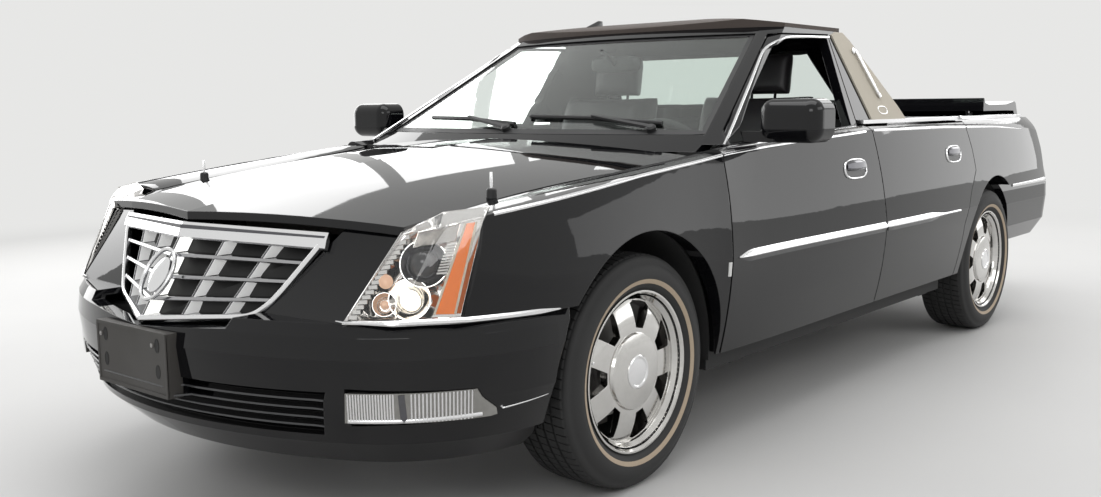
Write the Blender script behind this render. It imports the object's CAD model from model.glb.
"""The looks of the flower car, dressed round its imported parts.

Metres, +X forward, +Y to the car's left, +Z up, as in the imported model.
"""

import logging
import math
from collections.abc import Callable, Iterable, Sequence
from dataclasses import dataclass
from enum import Enum

import bmesh
import bpy
from mathutils import Matrix, Vector
from mathutils.bvhtree import BVHTree


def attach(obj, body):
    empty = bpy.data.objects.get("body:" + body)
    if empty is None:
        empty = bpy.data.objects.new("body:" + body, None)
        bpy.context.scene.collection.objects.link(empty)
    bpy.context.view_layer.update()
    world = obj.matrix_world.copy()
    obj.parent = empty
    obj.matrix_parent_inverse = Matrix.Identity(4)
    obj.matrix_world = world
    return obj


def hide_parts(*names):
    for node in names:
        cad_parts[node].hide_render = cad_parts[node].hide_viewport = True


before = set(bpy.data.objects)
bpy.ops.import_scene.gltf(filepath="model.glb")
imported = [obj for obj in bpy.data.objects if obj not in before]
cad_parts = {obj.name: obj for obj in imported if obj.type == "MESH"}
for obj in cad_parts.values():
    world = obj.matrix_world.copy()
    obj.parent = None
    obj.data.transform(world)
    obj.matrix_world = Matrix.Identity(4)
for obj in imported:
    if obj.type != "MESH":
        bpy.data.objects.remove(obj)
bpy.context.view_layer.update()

log = logging.getLogger("flower_car")
logging.basicConfig(level=logging.INFO, format="%(name)s: %(message)s")

Point = tuple[float, float, float]
Flat = tuple[float, float]
Section = Sequence[Flat]
Spot = tuple[Vector, Vector]
Scale = Callable[[float], Flat]

FRONT_AXLE_X = 1.5685
REAR_AXLE_X = -1.3675
AXLE_Z = 0.345
HALF_TRACK = {"front": 0.7875, "rear": 0.791}
BACKDROP: Point = (0.80, 0.80, 0.79)
MERGE = 0.00002
EASED_ANGLE = 28
SIDES = ("left", "right")
AHEAD, ASIDE, UP = Vector((1, 0, 0)), Vector((0, 1, 0)), Vector((0, 0, 1))


def maths(operation: str, swap: bool = False) -> Callable[["Term", "Term | float"], "Term"]:
    """An arithmetic method that adds one Math node.

    Args:
        operation: The Math node's operation.
        swap: True where the other value comes first.

    Returns:
        The method.
    """
    def method(self: "Term", other: "Term | float") -> "Term":
        """The two values joined by the Math node."""
        pair = (other, self) if swap else (self, other)
        return self.graph.value("ShaderNodeMath", dict(enumerate(pair)), operation=operation)
    return method


class Term:
    """A value in a material's graph, with the arithmetic of plain numbers."""

    __add__, __radd__ = maths("ADD"), maths("ADD", True)
    __rsub__, __mul__ = maths("SUBTRACT", True), maths("MULTIPLY")

    def __init__(self, graph: "Graph", socket: bpy.types.NodeSocket) -> None:
        """Holds the socket that gives the value."""
        self.graph, self.socket = graph, socket

    def clamped(self) -> "Term":
        """The value held between 0 and 1."""
        return self.graph.value("ShaderNodeClamp", {"Value": self})


class Graph:
    """The node graph of one material or world."""

    def __init__(self, owner: bpy.types.ID, output: str = "ShaderNodeOutputMaterial", place: str = "Object") -> None:
        """Starts an empty graph with its output node.

        Args:
            owner: The material or world.
            output: The output node's type.
            place: The coordinates that it works in.
        """
        owner.use_nodes = True
        self.owner, self.tree = owner, owner.node_tree
        self.tree.nodes.clear()
        self.output = self.node(output, {})
        self.place = self.value("ShaderNodeTexCoord", {}, place)

    def node(self, kind: str, values: dict, **settings: object) -> bpy.types.Node:
        """One node of any type.

        Args:
            kind: The node's type.
            values: The numbers, colours or links of its sockets, by name or index.
            **settings: Its own settings, set first.

        Returns:
            The node.
        """
        made = self.tree.nodes.new(kind)
        for key, value in settings.items():
            setattr(made, key, value)
        for key, value in values.items():
            if isinstance(value, Term):
                self.tree.links.new(value.socket, made.inputs[key])
            else:
                made.inputs[key].default_value = value
        return made

    def value(self, kind: str, values: dict, socket: "int | str" = 0, **settings: object) -> Term:
        """One output of a new node."""
        return Term(self, self.node(kind, values, **settings).outputs[socket])

    def show(self, shader: Term) -> None:
        """Puts a shader on the surface."""
        self.tree.links.new(shader.socket, self.output.inputs["Surface"])

    def stretched(self, scale: Point) -> Term:
        """Object coordinates stretched along the axes."""
        return self.value("ShaderNodeMapping", {"Vector": self.place, "Scale": scale})

    def noise(self, scale: float, detail: float, where: "Term | None" = None) -> Term:
        """A cloudy value from 0 to 1, with so many features to the metre."""
        values = {"Vector": where or self.place, "Scale": scale, "Detail": detail}
        return self.value("ShaderNodeTexNoise", values, "Fac")

    def cells(self, scale: float) -> Term:
        """The distance to the nearest cell's middle, for pebbled grain."""
        values = {"Vector": self.place, "Scale": scale}
        return self.value("ShaderNodeTexVoronoi", values, "Distance", feature="SMOOTH_F1")

    def height(self) -> Term:
        """The height of a place over the ground."""
        return self.value("ShaderNodeSeparateXYZ", {0: self.place}, 2)

    def ramp(self, value: Term, low: float, high: float) -> Term:
        """The value's rise from 0 at low to 1 at high."""
        values = {"Value": value, "From Min": low, "From Max": high}
        return self.value("ShaderNodeMapRange", values, interpolation_type="SMOOTHSTEP")

    def mix(self, share: "Term | float", first: "Term | Point", second: "Term | Point") -> Term:
        """A colour between two."""
        ends = [end if isinstance(end, Term) else (*end, 1.0) for end in (first, second)]
        return self.value("ShaderNodeMix", {"Factor": share, 6: ends[0], 7: ends[1]}, 2, data_type="RGBA")

    def relief(self, height: Term, depth: float, edge: float) -> Term:
        """A normal from a height, over edges rounded in shading.

        Args:
            height: The height, from 0 to 1.
            depth: Its size in metres.
            edge: The radius of the rounded edges, in metres.

        Returns:
            The normal.
        """
        values: dict = {"Height": height, "Distance": depth, "Strength": 1.0}
        if edge:
            values["Normal"] = self.value("ShaderNodeBevel", {"Radius": edge}, samples=4)
        return self.value("ShaderNodeBump", values)


class Grain(Enum):
    """How a finish's surface is broken up."""

    POLISHED = "polished"
    PEBBLED = "pebbled"
    BRUSHED = "brushed"
    MOULDED = "moulded"
    CAST = "cast"


DUST: Point = (0.16, 0.145, 0.125)
DUST_HEIGHTS = (0.12, 0.62)


@dataclass(frozen=True)
class Finish:
    """A finish with its two colours, gloss and grain, and the record's slot that it fills."""

    name: str
    colour: Point
    second: Point
    gloss: Flat
    grain: Grain = Grain.POLISHED
    size: float = 200.0
    depth: float = 0.00005
    edge: float = 0.0
    metallic: float = 0.0
    clear: float = 0.0
    ior: float = 1.5
    dust: float = 0.0
    glow: float = 0.0
    slot: str = "bright_chrome"

    def height(self, graph: Graph) -> Term:
        """The grain's height.

        Args:
            graph: The material's graph.

        Returns:
            The height, from about 0 to 1.
        """
        if self.grain is Grain.PEBBLED:
            return graph.cells(self.size) * 1.2 + graph.noise(self.size * 2.5, 2.0) * 0.35
        if self.grain is Grain.BRUSHED:
            return graph.noise(1.0, 4.0, graph.stretched((6.0, self.size, self.size)))
        if self.grain is Grain.MOULDED:
            return graph.noise(self.size, 2.0) * 0.7 + graph.cells(self.size * 0.6) * 0.3
        return graph.noise(self.size, 6.0 if self.grain is Grain.CAST else 1.0)

    def material(self) -> bpy.types.Material:
        """The Blender material, made once.

        Returns:
            The material.
        """
        found = bpy.data.materials.get(self.name)
        if found:
            return found
        graph = Graph(bpy.data.materials.new(self.name))
        height = self.height(graph)
        patches = graph.noise(3.1, 4.0)
        colour = graph.mix((height * 0.6 + patches * 0.4).clamped(), self.colour, self.second)
        rough = self.gloss[0] + graph.ramp(patches, 0.3, 0.75) * (self.gloss[1] - self.gloss[0])
        if self.dust:
            low = 1.0 - graph.ramp(graph.height(), *DUST_HEIGHTS)
            film = low * graph.ramp(graph.noise(9.0, 6.0), 0.25, 0.8) * self.dust
            colour = graph.mix(film, colour, DUST)
            rough = rough + film * 0.5
        values: dict = {"Base Color": colour, "Roughness": rough, "Metallic": self.metallic, "IOR": self.ior,
                        "Normal": graph.relief(height, self.depth, self.edge)}
        if self.clear:
            values["Transmission Weight"] = self.clear
        if self.glow:
            values |= {"Emission Color": graph.mix(0.0, self.colour, self.colour), "Emission Strength": self.glow}
        graph.show(graph.value("ShaderNodeBsdfPrincipled", values))
        return graph.owner


PAINT = Finish("gloss_black_paint", (0.003, 0.003, 0.004), (0.006, 0.006, 0.007), (0.01, 0.04), size=160, depth=0.00001,
               edge=0.003, ior=1.42, dust=0.06, slot="body_paint")
CHROME = Finish("bright_chrome", (0.8, 0.8, 0.81), (0.72, 0.72, 0.73), (0.03, 0.09), size=60, depth=0.00001, edge=0.001,
                metallic=1)
WHEEL_CHROME = Finish("wheel_chrome", (0.74, 0.73, 0.71), (0.62, 0.61, 0.59), (0.05, 0.16), size=70, depth=0.00002,
                      edge=0.002, metallic=1, dust=0.25)
STAINLESS = Finish("brushed_stainless", (0.6, 0.6, 0.6), (0.48, 0.48, 0.49), (0.26, 0.34), Grain.BRUSHED, 900, 0.000004,
                   0.0015, metallic=1)
ROOF_VINYL = Finish("roof_vinyl", (0.075, 0.06, 0.05), (0.105, 0.088, 0.075), (0.42, 0.56), Grain.PEBBLED, 520, 0.0005,
                    0.01, slot="roof_vinyl")
SAIL_VINYL = Finish("sail_vinyl", (0.42, 0.38, 0.31), (0.56, 0.52, 0.44), (0.45, 0.6), Grain.PEBBLED, 420, 0.0006,
                    0.004)
LEATHER = Finish("seat_leather", (0.022, 0.021, 0.022), (0.04, 0.038, 0.038), (0.34, 0.48), Grain.PEBBLED, 480, 0.0001,
                 slot="seat_leather")
CABIN = Finish("cabin_plastic", (0.018, 0.018, 0.019), (0.03, 0.03, 0.031), (0.45, 0.62), Grain.MOULDED, 700, 0.00006,
               0.003, slot="cabin_plastic")
BLACK_PLASTIC = Finish("black_plastic", (0.014, 0.014, 0.015), (0.026, 0.026, 0.027), (0.32, 0.5), Grain.MOULDED, 800,
                       0.00006, 0.002, slot="cabin_plastic")
RUBBER = Finish("tyre_rubber", (0.018, 0.018, 0.018), (0.04, 0.038, 0.036), (0.62, 0.8), Grain.CAST, 90, 0.0004,
                dust=0.3, slot="tyre_rubber")
RING = Finish("whitewall_ring", (0.5, 0.4, 0.29), (0.38, 0.3, 0.22), (0.6, 0.75), Grain.CAST, 120, 0.0001,
              slot="tyre_rubber")
GLASS = Finish("tinted_glass", (0.86, 0.93, 0.89), (0.84, 0.92, 0.88), (0.0, 0.02), size=4, depth=0.00001, clear=1,
               ior=1.45)
LENS = Finish("clear_lens", (0.96, 0.96, 0.96), (0.92, 0.92, 0.92), (0.0, 0.03), size=12, depth=0.00002, clear=1,
              ior=1.4, slot="lamp_lens")
AMBER = Finish("amber_lens", (0.9, 0.22, 0.03), (0.75, 0.17, 0.02), (0.1, 0.2), size=90, depth=0.0002, glow=0.25,
               slot="lamp_lens")
RED_LENS = Finish("red_lens", (0.36, 0.006, 0.006), (0.22, 0.004, 0.004), (0.05, 0.12), size=60, depth=0.0001)
RED_DARK = Finish("red_shade", (0.16, 0.003, 0.003), (0.11, 0.002, 0.002), (0.08, 0.16), size=60, depth=0.0001,
                  slot="lamp_lens")
IRON = Finish("brake_iron", (0.34, 0.33, 0.32), (0.22, 0.19, 0.17), (0.3, 0.5), Grain.CAST, 60, 0.0002, metallic=1,
              dust=0.5)
CAST_STEEL = Finish("cast_steel", (0.1, 0.1, 0.1), (0.16, 0.145, 0.13), (0.5, 0.7), Grain.CAST, 45, 0.0006,
                    metallic=0.5, dust=0.6)
EXHAUST = Finish("exhaust_steel", (0.24, 0.22, 0.2), (0.15, 0.12, 0.1), (0.3, 0.55), Grain.CAST, 30, 0.0003, metallic=1,
                 dust=0.5)
UNDERSIDE = Finish("underbody_coat", (0.022, 0.022, 0.023), (0.04, 0.038, 0.036), (0.6, 0.8), Grain.CAST, 110, 0.0008,
                   dust=0.8)
LIT = Finish("lit_lamp", (1, 0.93, 0.8), (1, 0.88, 0.7), (0.1, 0.2), size=30, depth=0.0001, glow=1.6, slot="lamp_lens")
WARM = Finish("warm_lamp", (0.95, 0.62, 0.42), (0.9, 0.5, 0.32), (0.15, 0.3), size=60, depth=0.0001, glow=0.25,
              slot="lamp_lens")
CREAM = Finish("cream_edge", (0.86, 0.8, 0.66), (0.78, 0.7, 0.56), (0.2, 0.35), size=90, depth=0.0001, slot="lamp_lens")
MARKER = Finish("marker_white", (0.82, 0.82, 0.8), (0.72, 0.72, 0.7), (0.08, 0.2), size=90, depth=0.0001)
LAMP_CHROME = Finish("lamp_reflector", (0.88, 0.87, 0.85), (0.7, 0.68, 0.66), (0.05, 0.14), size=140, depth=0.00004,
                     metallic=1)
DARK_CHROME = Finish("dark_chrome", (0.15, 0.15, 0.16), (0.1, 0.1, 0.11), (0.08, 0.2), size=80, depth=0.00002,
                     edge=0.001, metallic=1)
BLADE_BRIGHT = Finish("blade_bright", (0.88, 0.88, 0.87), (0.8, 0.8, 0.79), (0.22, 0.32), size=80, depth=0.00002,
                      metallic=0.2, glow=0.4)
BAR_CHROME = Finish("bar_chrome", (0.46, 0.46, 0.47), (0.38, 0.38, 0.39), (0.08, 0.16), size=80, depth=0.00002,
                    edge=0.001, metallic=1)
PROJECTOR = Finish("projector_glass", (0.035, 0.037, 0.04), (0.06, 0.06, 0.062), (0.01, 0.04), size=20, depth=0.00001,
                   ior=1.6, slot="lamp_lens")
FOG = Finish("fog_glass", (0.34, 0.335, 0.32), (0.22, 0.215, 0.2), (0.04, 0.12), size=70, depth=0.00005, metallic=0.7,
             slot="lamp_lens")
SCREEN = Finish("dark_screen", (0.006, 0.006, 0.006), (0.012, 0.012, 0.012), (0.5, 0.7), Grain.MOULDED, 420, 0.0004,
                slot="cabin_plastic")
BRACKET = Finish("bracket_plastic", (0.04, 0.037, 0.034), (0.062, 0.058, 0.053), (0.42, 0.6), Grain.MOULDED, 600,
                 0.0002, 0.002, slot="cabin_plastic")


def sided(*names: str) -> tuple[str, ...]:
    """Each name with each of the two sides."""
    return tuple(f"{name}_{side}" for name in names for side in SIDES)


NODE_FINISHES = {
    PAINT: ("boot_lid", "cab_shell", "front_bumper", "hood", "rear_bumper",
            *sided("door_mirror", "front_door", "front_fender", "quarter_panel", "rear_door")),
    DARK_CHROME: ("grille",),
    WHEEL_CHROME: sided("front_wheel", "rear_wheel"),
    STAINLESS: ("bed_rails", "flower_bed"),
    ROOF_VINYL: ("roof",),
    SAIL_VINYL: ("sail_panels",),
    LEATHER: ("seats",),
    CABIN: ("dashboard", "steering_wheel"),
    RUBBER: sided("front_tyre", "rear_tyre"),
    GLASS: ("windscreen", "rear_window"),
    LENS: ("headlamps", "fog_lamps"),
    RED_LENS: ("tail_lamps",),
    IRON: sided("front_brake_disc", "rear_brake_disc"),
    CAST_STEEL: ("engine_block", "front_suspension", "rear_suspension", *sided("front_knuckle")),
    EXHAUST: ("exhaust_system",),
    UNDERSIDE: ("floor_pan", "front_structure", "fuel_tank", "rear_structure"),
}


def dress(piece: bpy.types.Object, finish: Finish) -> None:
    """Gives a piece one finish on all of its faces.

    Args:
        piece: The piece.
        finish: The finish.
    """
    if not piece.material_slots:
        piece.data.materials.append(None)
    for held in piece.material_slots:
        held.material = finish.material()


def dress_nodes() -> None:
    """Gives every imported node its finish."""
    bare = set(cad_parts)
    for finish, names in NODE_FINISHES.items():
        for name in names:
            dress(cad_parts[name], finish)
        bare -= set(names)
    if bare:
        raise ValueError(f"no finish for {sorted(bare)}")


class Skin:
    """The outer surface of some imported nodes, for laying trim on."""

    def __init__(self, *nodes: str, reach: float = 3.4) -> None:
        """Gathers the nodes' faces.

        Args:
            *nodes: The nodes.
            reach: How far ahead or behind the views from front and rear start.
        """
        corners: list[Vector] = []
        faces: list[list[int]] = []
        for name in nodes:
            mesh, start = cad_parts[name].data, len(corners)
            corners += [vertex.co.copy() for vertex in mesh.vertices]
            faces += [[start + index for index in polygon.vertices] for polygon in mesh.polygons]
        self.tree, self.reach = BVHTree.FromPolygons(corners, faces), reach

    def hit(self, origin: Vector, toward: Vector, expected: "Vector | None" = None) -> Spot:
        """Where a line meets the surface.

        Args:
            origin: The line's start, outside the car.
            toward: Its direction.
            expected: Where the surface is about, for a line that just misses it.

        Returns:
            The place and the outward normal there.
        """
        place, normal, _, _ = self.tree.ray_cast(origin, toward.normalized())
        if place is None:
            place, normal, _, _ = self.tree.find_nearest(expected or origin)
        return place, (-normal if normal.dot(toward) > 0 else normal)

    def side(self, x: float, z: float) -> Spot:
        """The left side at a length and height."""
        about = Vector((x, 0.90 - 0.47 * max(0.0, z - 0.96), z))
        return self.hit(Vector((x, 1.5, z)), -ASIDE, about)

    def front(self, y: float, z: float) -> Spot:
        """The nose or the windscreen at a width and height."""
        return self.hit(Vector((self.reach, y, z)), -AHEAD)

    def rear(self, y: float, z: float) -> Spot:
        """The tail or the rear window at a width and height."""
        return self.hit(Vector((-self.reach, y, z)), AHEAD)

    def top(self, x: float, y: float) -> Spot:
        """The upper side at a length and width."""
        return self.hit(Vector((x, y, 2.2)), -UP)


def smoothed(path: list[Spot], passes: int = 2) -> list[Spot]:
    """A path whose inner places and normals are drawn towards their neighbours.

    Args:
        path: The path.
        passes: How often it is done.

    Returns:
        The path.
    """
    for _ in range(passes):
        inner = [((a[0] + b[0] * 2 + c[0]) / 4, (a[1] + b[1] * 2 + c[1]).normalized())
                 for a, b, c in zip(path, path[1:], path[2:])]
        path = [path[0], *inner, path[-1]]
    return path


def between(first: Sequence[float], last: Sequence[float], steps: int) -> list[tuple[float, ...]]:
    """Evenly spaced points from one to another, both ends included."""
    return [tuple(a + (b - a) * step / steps for a, b in zip(first, last)) for step in range(steps + 1)]


def level(line: Sequence[Flat], place: float) -> float:
    """The height of a broken line at a place.

    Args:
        line: Its points as (place, height), in falling or rising order.
        place: The place.

    Returns:
        The height, or the last point's past the end.
    """
    for (x0, z0), (x1, z1) in zip(line, line[1:]):
        if min(x0, x1) <= place <= max(x0, x1):
            return z0 + (z1 - z0) * (place - x0) / (x1 - x0)
    return line[-1][1]


def run_through(points: Sequence[Sequence[float]], pitch: float) -> list[tuple[float, ...]]:
    """Points along a broken line.

    Args:
        points: Its corners.
        pitch: The widest step between two points.

    Returns:
        The points.
    """
    made = [tuple(points[0])]
    for first, last in zip(points, points[1:]):
        made += between(first, last, max(1, math.ceil(math.dist(first, last) / pitch)))[1:]
    return made


def laid(view: Callable[..., Spot], points: Sequence[Flat], pitch: float) -> list[Spot]:
    """Places of a surface, as a view of it gives them, along a broken line."""
    return [view(*point) for point in run_through(points, pitch)]


def arc(start: Flat, middle: Flat, end: Flat, steps: int) -> list[Flat]:
    """Points of the arc through three points in a plane.

    Args:
        start: The first point.
        middle: A point on the way.
        end: The last point.
        steps: The number of parts.

    Returns:
        The points after the first.
    """
    a, b, c = (Vector((*point, 0.0)) for point in (start, middle, end))
    u, v = b - a, c - a
    w = u.cross(v)
    centre = a + (w.cross(u) * v.length_squared + v.cross(w) * u.length_squared) / (2 * w.length_squared)
    first = a - centre
    turn = first.angle(b - centre) + (b - centre).angle(c - centre)
    axis = Vector((0, 0, 1 if w.z > 0 else -1))
    points = [centre + Matrix.Rotation(turn * step / steps, 3, axis) @ first for step in range(1, steps + 1)]
    return [(point.x, point.y) for point in points]


def oval(count: int, wide: float, tall: float, powers: Flat = (1.0, 1.0)) -> list[Flat]:
    """Points round an oval.

    Args:
        count: How many.
        wide: Half its width.
        tall: Half its height.
        powers: Below 1 for an oval that is squarer across or upwards.

    Returns:
        The points.
    """
    made = []
    for step in range(count):
        c, s = math.cos(math.tau * step / count), math.sin(math.tau * step / count)
        made.append((math.copysign(abs(c) ** powers[0], c) * wide, math.copysign(abs(s) ** powers[1], s) * tall))
    return made


def in_patch(corners: Sequence[Point], across: float, up: float) -> Vector:
    """A place in a four-cornered patch.

    Args:
        corners: Its foot's two corners, then its top's.
        across: From 0 at each first corner to 1 at each second one.
        up: From 0 at the foot to 1 at the top.

    Returns:
        The place.
    """
    low, low_end, high, high_end = (Vector(corner) for corner in corners)
    return low.lerp(low_end, across).lerp(high.lerp(high_end, across), up)


def strip(width: float, proud: float, sink: float = 0.003) -> Section:
    """A half-round section for trim.

    Args:
        width: Its width, in metres.
        proud: How far it stands out.
        sink: How far it goes under the surface.

    Returns:
        The section as (across, outward).
    """
    half = width / 2
    return [(-half, -sink), (half, -sink), (half, proud * 0.35), (half * 0.6, proud * 0.85), (0, proud),
            (-half * 0.6, proud * 0.85), (-half, proud * 0.35)]


def thinning(across: float, outward: float) -> Scale:
    """A section's scale that falls along its path, by a share across and a share outward."""
    return lambda share: (1 - across * share, 1 - outward * share)


def scene_object(name: str, data: bpy.types.ID) -> bpy.types.Object:
    """A new object in the scene.

    Args:
        name: Its name.
        data: Its mesh, lamp or camera.

    Returns:
        The object.
    """
    made = bpy.data.objects.new(name, data)
    bpy.context.scene.collection.objects.link(made)
    return made


def shaded(built: bmesh.types.BMesh, name: str, sharp: float) -> bpy.types.Mesh:
    """A mesh shaded smooth but for its sharp edges.

    Args:
        built: The mesh in the making, which is freed.
        name: The mesh's name.
        sharp: The angle in degrees past which an edge is sharp.

    Returns:
        The mesh.
    """
    made = bpy.data.meshes.new(name)
    built.to_mesh(made)
    built.free()
    made.shade_smooth()
    made.set_sharp_from_angle(angle=math.radians(sharp))
    return made


def round_edges(piece: bpy.types.Object, radius: float, segments: int, angle: float) -> None:
    """Rounds a piece's edges.

    Args:
        piece: The piece.
        radius: The radius, in metres.
        segments: Faces across an edge.
        angle: The angle in degrees past which an edge is rounded.
    """
    rounded = piece.modifiers.new("rounded_edges", "BEVEL")
    rounded.width, rounded.segments, rounded.limit_method = radius, segments, "ANGLE"
    rounded.angle_limit = math.radians(angle)


def settle(made: bpy.types.Object, finish: Finish, body: str, slot: str = "",
           replaces: Sequence[str] = ()) -> bpy.types.Object:
    """Dresses a piece and puts it on its body.

    Args:
        made: The piece.
        finish: Its finish.
        body: The body that it rides on.
        slot: The record's material slot, where it isn't the finish's own.
        replaces: Nodes that it stands for.

    Returns:
        The piece.
    """
    slot = slot or finish.slot
    dress(made, finish)
    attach(made, body)
    if replaces:
        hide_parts(*replaces)
    log.info("%s on %s: %d faces", made.name, body, len(made.data.polygons))
    return made


def eased(node: str, name: str, finish: Finish, radius: float) -> None:
    """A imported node's own form with its edges rounded, in the node's place.

    Args:
        node: The node.
        name: The piece's name.
        finish: Its finish.
        radius: The radius of its edges, in metres.
    """
    built = bmesh.new()
    built.from_mesh(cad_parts[node].data)
    bmesh.ops.remove_doubles(built, verts=built.verts, dist=MERGE)
    bmesh.ops.dissolve_limit(built, angle_limit=math.radians(0.4), verts=built.verts, edges=built.edges)
    made = scene_object(name, shaded(built, name, EASED_ANGLE))
    round_edges(made, radius, 4, EASED_ANGLE)
    settle(made, finish, "chassis", replaces=[node])


class Form:
    """A mesh in the making, from swept, turned, plated and cushioned parts."""

    def __init__(self) -> None:
        """Starts empty."""
        self.corners: list[Vector] = []
        self.faces: list[list[int]] = []

    def add(self, corners: Iterable[Vector], faces: Iterable[Sequence[int]]) -> "Form":
        """Adds faces.

        Args:
            corners: Their corners.
            faces: The faces, which count from the first of these corners.

        Returns:
            The form.
        """
        start = len(self.corners)
        self.corners += [Vector(corner) for corner in corners]
        self.faces += [[start + index for index in face] for face in faces]
        return self

    def grid(self, rows: Sequence[Sequence[Vector]], closed: bool = False) -> "Form":
        """Adds a sheet of four-sided faces.

        Args:
            rows: Rows of as many points each.
            closed: True where each row runs round to its start.

        Returns:
            The form.
        """
        width = len(rows[0])
        span = width if closed else width - 1
        faces = [(r * width + c, r * width + (c + 1) % width, (r + 1) * width + (c + 1) % width, (r + 1) * width + c)
                 for r in range(len(rows) - 1) for c in range(span)]
        return self.add([point for row in rows for point in row], faces)

    def loft(self, rows: Sequence[Sequence[Vector]]) -> "Form":
        """Adds a closed skin through rings of points, with both ends filled."""
        whole = [range(len(rows[0]))]
        return self.add(rows[0], whole).add(rows[-1], whole).grid(rows, closed=True)

    def sweep(self, path: Sequence[Spot], section: Section, scale: Scale = lambda share: (1.0, 1.0),
              ring: bool = False) -> "Form":
        """Carries a closed section along a path on a surface.

        Args:
            path: Places with their outward normals.
            section: The section as (across, outward).
            scale: The section's size across and outward, at a share of the path.
            ring: True where the path closes on itself.

        Returns:
            The form.
        """
        rows = []
        count = len(path)
        for index, (place, out) in enumerate(path):
            after = path[(index + 1) % count if ring else min(index + 1, count - 1)][0]
            before = path[index - 1 if ring else max(index - 1, 0)][0]
            ahead = (after - before).normalized()
            across = out.cross(ahead).normalized()
            up = ahead.cross(across)
            wide, proud = scale(index / max(count - 1, 1))
            rows.append([place + across * (a * wide) + up * (o * proud) for a, o in section])
        return self.grid([*rows, rows[0]], closed=True) if ring else self.loft(rows)

    def turn(self, centre: Vector, axis: Vector, profile: Section, sides: int = 40, ring: bool = False) -> "Form":
        """Turns a profile round an axis.

        Args:
            centre: A point of the axis.
            axis: Its direction.
            profile: Points as (radius, along the axis), closed by poles at radius 0.
            sides: Steps round.
            ring: True where the profile's end joins its start.

        Returns:
            The form.
        """
        along = axis.normalized()
        one = along.orthogonal().normalized()
        two = along.cross(one)
        angles = [math.tau * side / sides for side in range(sides)]
        rows = [[centre + along * height + (one * math.cos(a) + two * math.sin(a)) * radius for a in angles]
                for radius, height in profile]
        if ring:
            rows.append(rows[0])
        return self.grid(rows, closed=True)

    def plate(self, outline: Sequence[Vector], thickness: Vector) -> "Form":
        """Adds a flat outline with a thickness.

        Args:
            outline: The outline.
            thickness: The way from one face to the other.

        Returns:
            The form.
        """
        size = len(outline)
        sides = [(i, (i + 1) % size, size + (i + 1) % size, size + i) for i in range(size)]
        return self.add([*outline, *(point + thickness for point in outline)],
                        [range(size), range(size, 2 * size), *sides])

    def block(self, low: Point, high: Point) -> "Form":
        """Adds a box from its lowest to its highest corner."""
        (x0, y0, z0), (x1, y1, z1) = low, high
        return self.plate([Vector((x, y, z0)) for x, y in ((x0, y0), (x1, y0), (x1, y1), (x0, y1))], UP * (z1 - z0))

    def cushion(self, centre: Vector, along: Vector, across: Vector, size: Point, bolster: float,
                channels: Sequence[float]) -> "Form":
        """Adds a crowned pad whose sides pull in between its corners.

        Args:
            centre: Its middle.
            along: The direction of its length.
            across: The direction of its width.
            size: Length, width and thickness.
            bolster: How much thicker its two long edges are, as a share.
            channels: Sewn channels, as shares of the length from -1 to 1.

        Returns:
            The form.
        """
        ahead, aside = along.normalized(), across.normalized()
        up = ahead.cross(aside)
        length, width, thick = size
        shares = [-math.cos(math.pi * step / 44) for step in range(45)]
        for side in (1.0, -1.0):
            rows = []
            for s in shares:
                line = []
                for t in shares:
                    dome = (max(0.0, 1 - s ** 6) * max(0.0, 1 - t ** 6)) ** 0.42
                    rise = dome * (1 + bolster * (max(0.0, abs(t) - 0.45) / 0.55) ** 1.5 * (side > 0))
                    for place in channels:
                        rise -= 0.16 * math.exp(-((s - place) / 0.028) ** 2) * (abs(t) < 0.62) * (side > 0)
                    seam = 0.07 * math.exp(-((abs(t) - 0.62) / 0.022) ** 2) * (side > 0)
                    pull = 1 - 0.02 * (1 - s * s), 1 - 0.02 * (1 - t * t)
                    line.append(centre + ahead * (s * length / 2 * pull[1]) + aside * (t * width / 2 * pull[0])
                                + up * (side * (rise - seam) * thick / 2))
                rows.append(line)
            self.grid(rows)
        return self

    def mirrored(self) -> "Form":
        """The same form on the car's other side.

        Returns:
            The form.
        """
        made = Form()
        made.corners = [Vector((c.x, -c.y, c.z)) for c in self.corners]
        made.faces = [list(reversed(face)) for face in self.faces]
        return made

    def mesh(self, name: str, sharp: float) -> bpy.types.Mesh:
        """A closed mesh whose faces point outwards.

        Args:
            name: Its name.
            sharp: The angle in degrees past which an edge is sharp.

        Returns:
            The mesh.
        """
        built = bmesh.new()
        corners = [built.verts.new(corner) for corner in self.corners]
        for face in self.faces:
            built.faces.new([corners[index] for index in face])
        bmesh.ops.remove_doubles(built, verts=built.verts, dist=MERGE)
        bmesh.ops.dissolve_degenerate(built, edges=built.edges, dist=MERGE)
        bmesh.ops.recalc_face_normals(built, faces=built.faces)
        return shaded(built, name, sharp)

    def piece(self, name: str, finish: Finish, body: str = "chassis", slot: str = "", sharp: float = 34.0,
              bevel: float = 0.0, replaces: Sequence[str] = ()) -> bpy.types.Object:
        """The finished piece.

        Args:
            name: Its name.
            finish: Its finish.
            body: The body that it rides on.
            slot: The record's material slot, where it isn't the finish's own.
            sharp: The angle in degrees past which an edge is sharp.
            bevel: The radius of its rounded edges, in metres.
            replaces: Nodes that it stands for.

        Returns:
            The object.
        """
        made = scene_object(name, self.mesh(name, sharp))
        if bevel:
            round_edges(made, bevel, 2, sharp)
        return settle(made, finish, body, slot, replaces)

    def pair(self, name: str, finish: Finish, body: str = "chassis", **options: object) -> None:
        """The piece on the left and its mirror image on the right.

        Args:
            name: Its name, without the side.
            finish: The finish.
            body: The body; "{side}" in it stands for the side.
            **options: What piece takes.
        """
        for side, form in zip(SIDES, (self, self.mirrored())):
            form.piece(f"{name}_{side}", finish, body.format(side=side), **options)


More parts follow.
